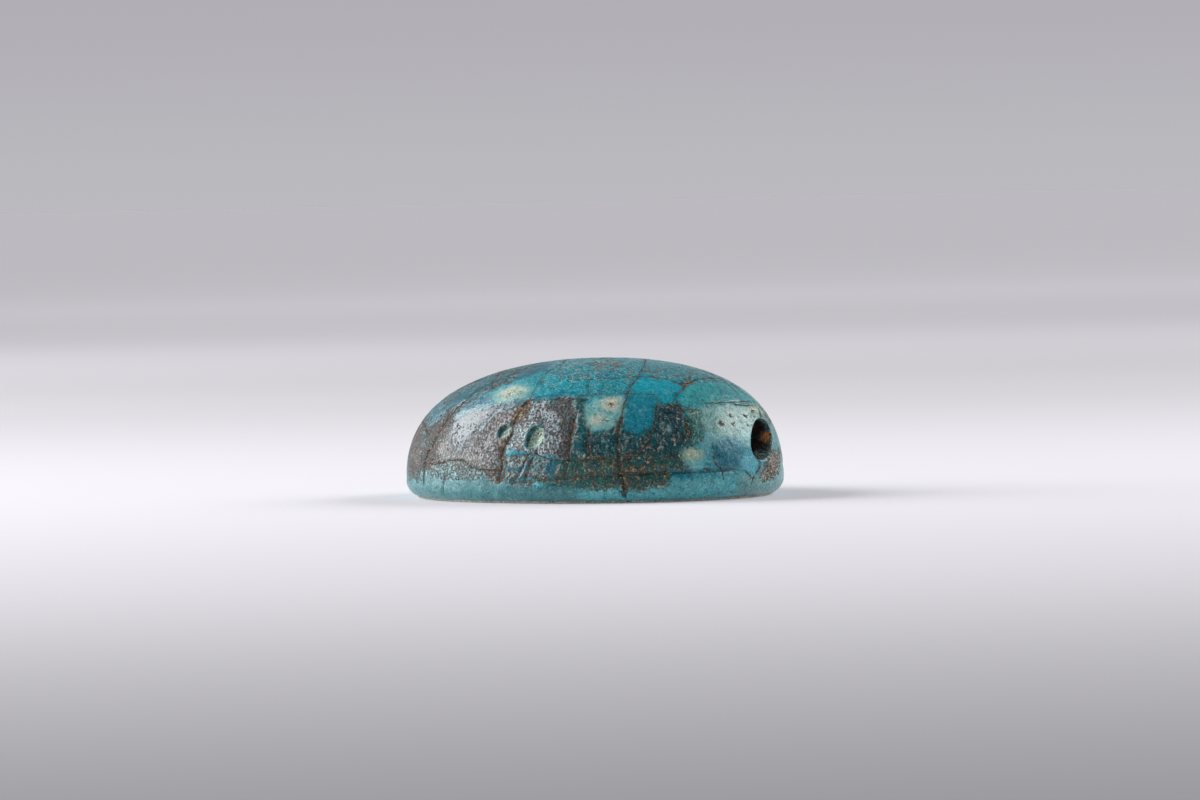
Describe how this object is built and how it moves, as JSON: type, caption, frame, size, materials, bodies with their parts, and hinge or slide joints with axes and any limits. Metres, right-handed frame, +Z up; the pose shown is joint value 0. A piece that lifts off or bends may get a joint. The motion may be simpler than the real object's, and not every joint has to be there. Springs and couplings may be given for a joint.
{
  "type": "cowroid seal",
  "caption": "Oval domed seal bead of turquoise-glazed stone, bored lengthwise for a string, with an engraved flat base.",
  "frame": {"origin": "middle of the flat base, on the surface that the seal rests on", "axes": "+X along the string hole, towards the end that the crest leans to; +Z up from the base to the crest of the back"},
  "size_m": [0.018, 0.013, 0.0061],
  "materials": {
    "glazed_steatite": "worn turquoise glaze, cracked and stained brown"
  },
  "bodies": {
    "root": {"cowroid_seal": "glazed_steatite"}
  },
  "joints": []
}
